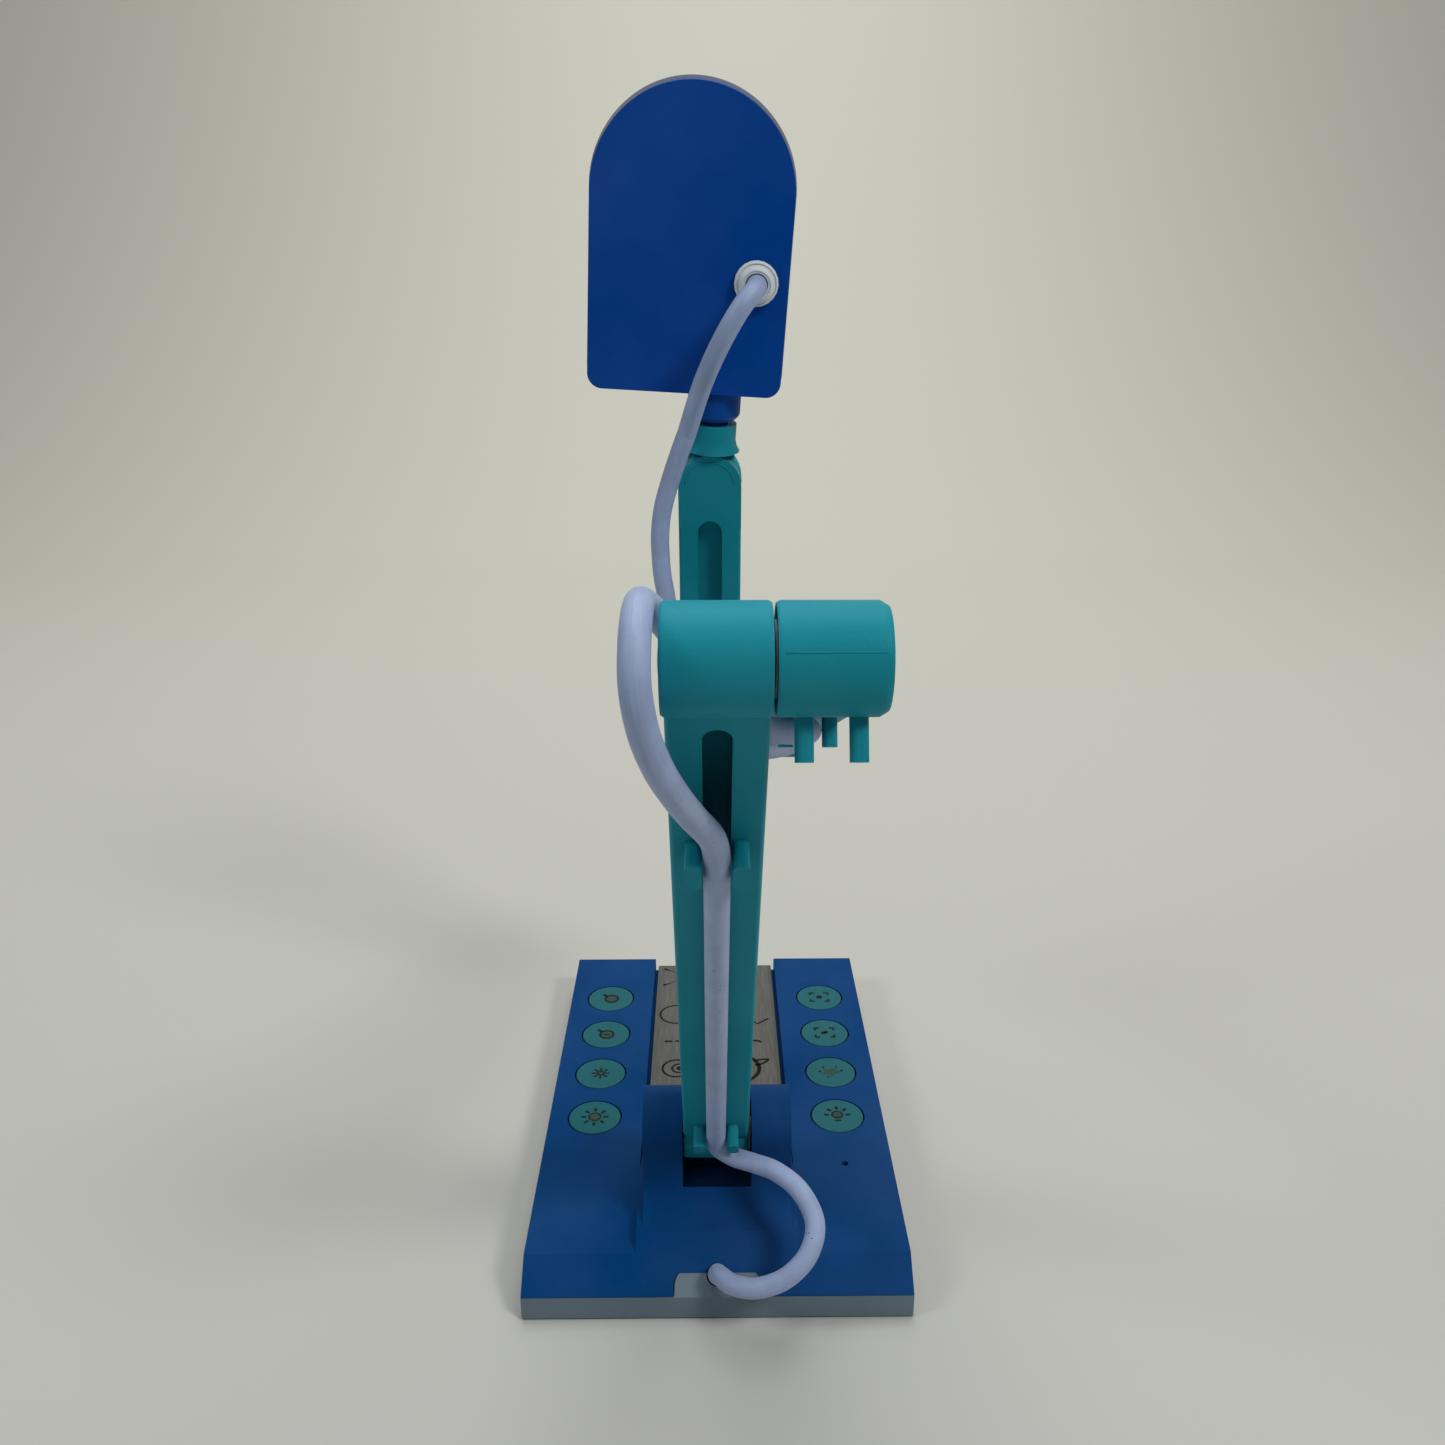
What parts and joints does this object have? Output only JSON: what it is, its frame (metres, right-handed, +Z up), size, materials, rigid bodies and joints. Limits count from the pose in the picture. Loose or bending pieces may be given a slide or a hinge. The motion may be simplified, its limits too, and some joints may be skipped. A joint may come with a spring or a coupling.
{
  "type": "desktop document camera",
  "caption": "Desktop document camera: a flat keypad base carries a folding arm of side-by-side links, a tilting knuckle and a round-topped swivelling camera head, with a clipped cable.",
  "frame": {"origin": "middle of the anti-slip pad's underside, on the table", "axes": "+X to the right seen from behind, +Y towards the side the camera faces, +Z up"},
  "size_m": [0.1, 0.2412, 0.2973],
  "materials": {
    "blue_body": "fine satin texture, deep blue",
    "head_blue": "satin, royal blue",
    "neck": "semi-gloss, dark blue",
    "teal_arm": "fine satin texture, teal",
    "button": "satin with printed symbols",
    "tray": "fine matte texture, grey",
    "panel": "matte print with thin line drawings",
    "grommet": "smooth, white",
    "head_front": "satin, light grey",
    "washer": "smooth, natural nylon",
    "pad": "matte, finely ribbed",
    "key_mat": "matte silicone",
    "steel": "plain, zinc plated",
    "screw": "dark zinc plated",
    "board": "green lacquer",
    "lens_barrel": "matte black",
    "lens_glass": "coated glass",
    "diffuser": "translucent white",
    "cable": "soft, pale lavender jacket"
  },
  "bodies": {
    "base": {"base_tray": "tray", "base_cover": "blue_body", "anti_slip_pad": "pad", "deck_panel": "panel", "ballast_plate": "steel", "main_board": "board", "key_board_left": "board", "key_mat_left": "key_mat", "key_board_right": "board", "key_mat_right": "key_mat", "microphone": "steel", "data_socket": "steel", "base_screw_1": "screw", "base_screw_2": "screw", "base_screw_3": "screw", "base_screw_4": "screw", "base_pivot_bolt": "steel", "base_pivot_nut": "steel", "pivot_washer_left": "washer", "pivot_washer_right": "washer", "cable_base_loop": "cable"},
    "button_left_1_key": {"button_left_1": "button"},
    "button_left_2_key": {"button_left_2": "button"},
    "button_left_3_key": {"button_left_3": "button"},
    "button_left_4_key": {"button_left_4": "button"},
    "button_right_1_key": {"button_right_1": "button"},
    "button_right_2_key": {"button_right_2": "button"},
    "button_right_3_key": {"button_right_3": "button"},
    "button_right_4_key": {"button_right_4": "button"},
    "lower_arm": {"lower_link": "teal_arm", "elbow_bolt": "steel", "cable_lower_run": "cable", "cable_elbow_loop": "cable"},
    "middle_arm": {"middle_link": "teal_arm", "elbow_nut": "steel", "elbow_washer": "washer", "wrist_nut": "steel", "wrist_washer": "washer", "cable_middle_run": "cable"},
    "upper_arm": {"upper_link": "teal_arm", "wrist_bolt": "steel", "cable_upper_run": "cable"},
    "knuckle": {"tilt_knuckle": "teal_arm", "tilt_screw": "screw", "cable_head_loop": "cable"},
    "head": {"neck_post": "neck", "head_rear_shell": "head_blue", "head_front_shell": "head_front", "head_grommet": "grommet", "camera_board": "board", "lens_tube": "lens_barrel", "lens_glass": "lens_glass", "light_ring": "diffuser", "head_screw_1": "screw", "head_screw_2": "screw"}
  },
  "joints": [
    {"name": "base_tilt", "type": "hinge", "parent": "base", "child": "lower_arm", "pos_m": [0, -0.0473, 0.0345], "axis": [1, 0, 0], "range_deg": [-30, 10], "deforming": ["cable_base_loop"]},
    {"name": "elbow", "type": "hinge", "parent": "lower_arm", "child": "middle_arm", "pos_m": [0, -0.14559, 0.19476], "axis": [1, 0, 0], "range_deg": [-10, 100], "deforming": ["cable_elbow_loop"]},
    {"name": "wrist", "type": "hinge", "parent": "middle_arm", "child": "upper_arm", "pos_m": [0, 0.02462, 0.12356], "axis": [1, 0, 0], "range_deg": [-90, 30], "deforming": ["cable_middle_run"]},
    {"name": "side_tilt", "type": "hinge", "parent": "upper_arm", "child": "knuckle", "pos_m": [-0.0013, 0.01252, 0.1991], "axis": [0, 0.9874, 0.1582], "range_deg": [-48.4, 41.6], "deforming": ["cable_upper_run"]},
    {"name": "head_swivel", "type": "hinge", "parent": "knuckle", "child": "head", "pos_m": [-0.0013, 0.01252, 0.1991], "axis": [0.0593, -0.1579, 0.9857], "range_deg": [-90, 90], "deforming": ["cable_head_loop"]},
    {"name": "button_left_1_press", "type": "slide", "parent": "base", "child": "button_left_1_key", "axis": [0, 0, -1], "range_m": [0, 0.0008], "stiffness_N_per_m": 500},
    {"name": "button_left_2_press", "type": "slide", "parent": "base", "child": "button_left_2_key", "axis": [0, 0, -1], "range_m": [0, 0.0008], "stiffness_N_per_m": 500},
    {"name": "button_left_3_press", "type": "slide", "parent": "base", "child": "button_left_3_key", "axis": [0, 0, -1], "range_m": [0, 0.0008], "stiffness_N_per_m": 500},
    {"name": "button_left_4_press", "type": "slide", "parent": "base", "child": "button_left_4_key", "axis": [0, 0, -1], "range_m": [0, 0.0008], "stiffness_N_per_m": 500},
    {"name": "button_right_1_press", "type": "slide", "parent": "base", "child": "button_right_1_key", "axis": [0, 0, -1], "range_m": [0, 0.0008], "stiffness_N_per_m": 500},
    {"name": "button_right_2_press", "type": "slide", "parent": "base", "child": "button_right_2_key", "axis": [0, 0, -1], "range_m": [0, 0.0008], "stiffness_N_per_m": 500},
    {"name": "button_right_3_press", "type": "slide", "parent": "base", "child": "button_right_3_key", "axis": [0, 0, -1], "range_m": [0, 0.0008], "stiffness_N_per_m": 500},
    {"name": "button_right_4_press", "type": "slide", "parent": "base", "child": "button_right_4_key", "axis": [0, 0, -1], "range_m": [0, 0.0008], "stiffness_N_per_m": 500}
  ]
}
